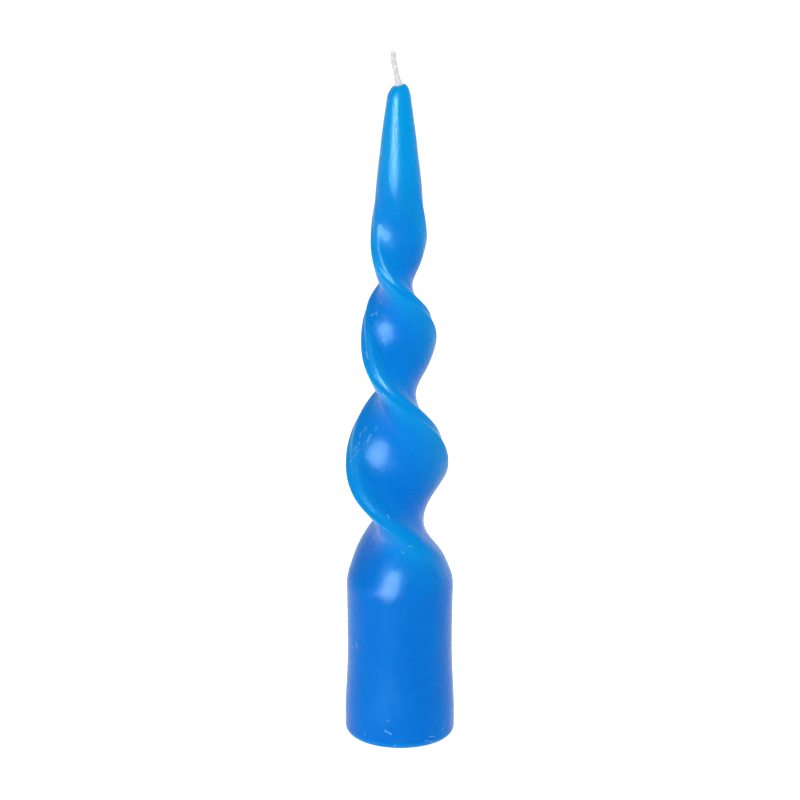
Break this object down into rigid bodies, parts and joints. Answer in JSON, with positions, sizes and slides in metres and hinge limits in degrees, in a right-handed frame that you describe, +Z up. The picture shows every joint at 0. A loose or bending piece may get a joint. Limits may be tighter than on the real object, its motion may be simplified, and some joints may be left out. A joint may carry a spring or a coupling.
{
  "type": "twisted dinner candle",
  "caption": "Twisted taper candle with a round stub foot, a flattened left-hand spiral body, a round tip and a leaning wick.",
  "frame": {"origin": "centre of the round foot, on the plane that the candle stands on", "axes": "+Z up along the axis of the round stub, from the foot to the wick; +X to the right and -Y towards the viewer as the candle is pictured, so that the wick leans to -X"},
  "size_m": [0.031, 0.0316, 0.198],
  "materials": {
    "blue_wax": "smooth, slightly granular dipped wax with a satin sheen",
    "white_wax": "plain undyed wax, cut flat at the foot",
    "cotton_wick": "plaited cotton, primed with wax"
  },
  "bodies": {
    "root": {"colour_coat": "blue_wax", "wax_core": "white_wax", "wick": "cotton_wick"}
  },
  "joints": []
}
